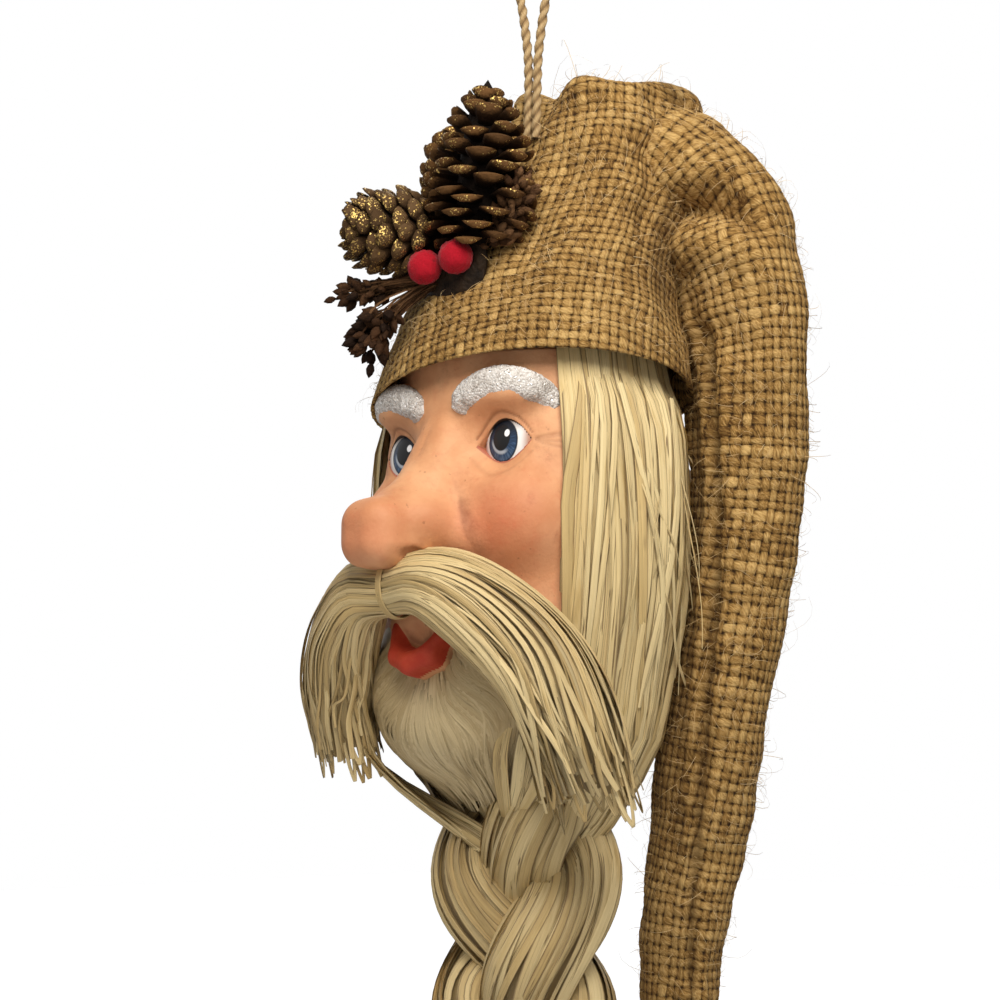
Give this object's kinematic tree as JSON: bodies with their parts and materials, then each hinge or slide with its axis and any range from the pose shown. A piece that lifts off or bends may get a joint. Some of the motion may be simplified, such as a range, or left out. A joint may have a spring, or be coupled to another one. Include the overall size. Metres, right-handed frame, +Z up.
{
  "type": "santa wall hanging",
  "caption": "Santa head wall hanging with a painted face, raffia hair, moustache and plaited beard, and a long stuffed burlap cap trimmed with pine cones, hung by a twine loop.",
  "frame": {"origin": "inside the top of the twine loop, where the nail or hook bears", "axes": "+Z up, -Y the way the face looks, +Y towards the wall, +X towards the figure's own left, where the cap's tail hangs"},
  "size_m": [0.1422, 0.1294, 0.4799],
  "materials": {
    "burlap": "coarse woven jute",
    "stuffing": "fibre fill",
    "foam": "foam",
    "board": "plain board",
    "skin": "hand painted, with a brown wash",
    "flock": "glittered flock",
    "raffia": "dry palm strips",
    "husk": "combed, slightly glossy fibre",
    "cone": "dry scales with gold glitter at the tips",
    "berry": "flocked",
    "sprig": "dry seed heads",
    "glue": "hot glue",
    "twine": "two-ply jute"
  },
  "bodies": {
    "head": {"hanger_loop": "twine", "back_board": "board", "head_core": "foam", "face_mask": "skin", "eyebrow_left": "flock", "eyebrow_right": "flock", "chin_tuft": "husk", "side_hair_left": "raffia", "side_hair_right": "raffia", "moustache_left": "raffia", "moustache_right": "raffia", "moustache_tie": "raffia", "hat_crown": "burlap", "crown_stuffing": "stuffing", "berry_left": "berry", "berry_right": "berry", "pine_cone_front": "cone", "pine_cone_side": "cone", "pine_cone_rear": "cone", "sprig_right": "sprig", "sprig_side": "sprig", "sprig_lower": "sprig", "trim_pad": "glue"},
    "tail": {"hat_tail": "burlap", "tail_stuffing": "stuffing"},
    "braid": {"braid_strand_left": "raffia", "braid_strand_centre": "raffia", "braid_strand_right": "raffia", "beard_tie": "raffia", "beard_tassel": "raffia"}
  },
  "joints": [
    {"name": "tail_swing", "type": "hinge", "parent": "head", "child": "tail", "pos_m": [0.028, 0.043, -0.064], "axis": [0, -1, 0], "range_deg": [0, 15]},
    {"name": "braid_lift", "type": "hinge", "parent": "head", "child": "braid", "pos_m": [-0.01, 0.007, -0.282], "axis": [-1, 0, 0], "range_deg": [0, 25]}
  ]
}
